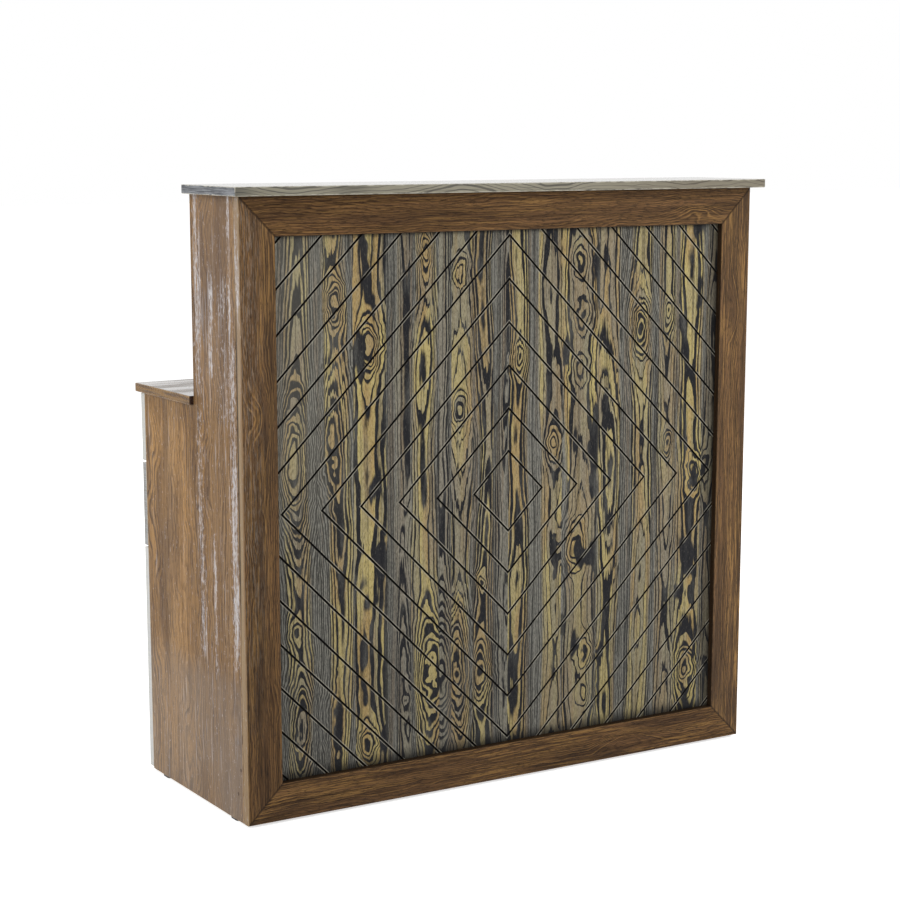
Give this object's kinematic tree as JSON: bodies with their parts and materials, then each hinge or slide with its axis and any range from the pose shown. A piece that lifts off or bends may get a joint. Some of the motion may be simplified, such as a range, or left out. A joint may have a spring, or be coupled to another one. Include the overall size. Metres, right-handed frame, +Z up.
{
  "type": "reception desk",
  "caption": "Reception desk with a mitred oak frame round a diamond-grooved pine front, a raised counter over a lower worktop, and a staff-side cabinet with drawers and a door.",
  "frame": {"origin": "on the floor under the middle of the whole desk", "axes": "+X to the right seen from the public side, +Y towards the staff side, +Z up"},
  "size_m": [1.132, 0.4794, 1.1163],
  "materials": {
    "stained_oak": "dark brown stain under satin lacquer, open grain",
    "brushed_pine": "brushed pine, black stain in the grain and grooves, yellow and grey rubbed high spots",
    "grey_pine": "grey stained pine under satin lacquer, worn pale edges",
    "carcass_board": "brown laminate, fine printed grain",
    "birch_ply": "clear lacquered birch plywood",
    "zinc_steel": "zinc plated sheet steel",
    "black_metal": "fine textured black powder coat",
    "black_plastic": "moulded black plastic"
  },
  "bodies": {
    "carcass": {"frame_top_rail": "stained_oak", "frame_bottom_rail": "stained_oak", "frame_left_stile": "stained_oak", "frame_right_stile": "stained_oak", "grooved_panel": "brushed_pine", "carrier_board": "carcass_board", "side_panel_left": "stained_oak", "side_panel_right": "stained_oak", "partition": "stained_oak", "cabinet_floor": "carcass_board", "drawer_divider": "carcass_board", "worktop_cleat_cabinet": "carcass_board", "worktop_cleat_knee": "carcass_board", "counter_top": "grey_pine", "worktop": "grey_pine", "shelf": "carcass_board", "shelf_pin_front_left": "zinc_steel", "shelf_pin_front_right": "zinc_steel", "shelf_pin_rear_left": "zinc_steel", "shelf_pin_rear_right": "zinc_steel", "bracket_front_left": "zinc_steel", "bracket_front_right": "zinc_steel", "bracket_side_left": "zinc_steel", "bracket_side_right": "zinc_steel", "foot_front_left": "black_plastic", "foot_front_middle": "black_plastic", "foot_front_right": "black_plastic", "foot_rear_left": "black_plastic", "foot_rear_middle": "black_plastic", "foot_rear_right": "black_plastic", "drawer_upper_rail_left": "zinc_steel", "drawer_upper_rail_right": "zinc_steel", "drawer_lower_rail_left": "zinc_steel", "drawer_lower_rail_right": "zinc_steel", "hinge_arm_upper": "zinc_steel", "hinge_arm_lower": "zinc_steel"},
    "upper_drawer": {"drawer_upper_front": "grey_pine", "drawer_upper_box_front": "birch_ply", "drawer_upper_side_left": "birch_ply", "drawer_upper_side_right": "birch_ply", "drawer_upper_back": "birch_ply", "drawer_upper_bottom": "birch_ply", "drawer_upper_handle": "black_metal", "drawer_upper_runner_left": "zinc_steel", "drawer_upper_runner_right": "zinc_steel"},
    "lower_drawer": {"drawer_lower_front": "grey_pine", "drawer_lower_box_front": "birch_ply", "drawer_lower_side_left": "birch_ply", "drawer_lower_side_right": "birch_ply", "drawer_lower_back": "birch_ply", "drawer_lower_bottom": "birch_ply", "drawer_lower_handle": "black_metal", "drawer_lower_runner_left": "zinc_steel", "drawer_lower_runner_right": "zinc_steel"},
    "cupboard_door": {"door": "grey_pine", "door_handle": "black_metal", "hinge_cup_upper": "zinc_steel", "hinge_cup_lower": "zinc_steel"}
  },
  "joints": [
    {"name": "upper_drawer_slide", "type": "slide", "parent": "carcass", "child": "upper_drawer", "axis": [0, 1, 0], "range_m": [0, 0.25]},
    {"name": "lower_drawer_slide", "type": "slide", "parent": "carcass", "child": "lower_drawer", "axis": [0, 1, 0], "range_m": [0, 0.25]},
    {"name": "cupboard_door_hinge", "type": "hinge", "parent": "carcass", "child": "cupboard_door", "pos_m": [-0.542, 0.20925, 0.2215], "axis": [0, 0, 1], "range_deg": [0, 105]}
  ]
}
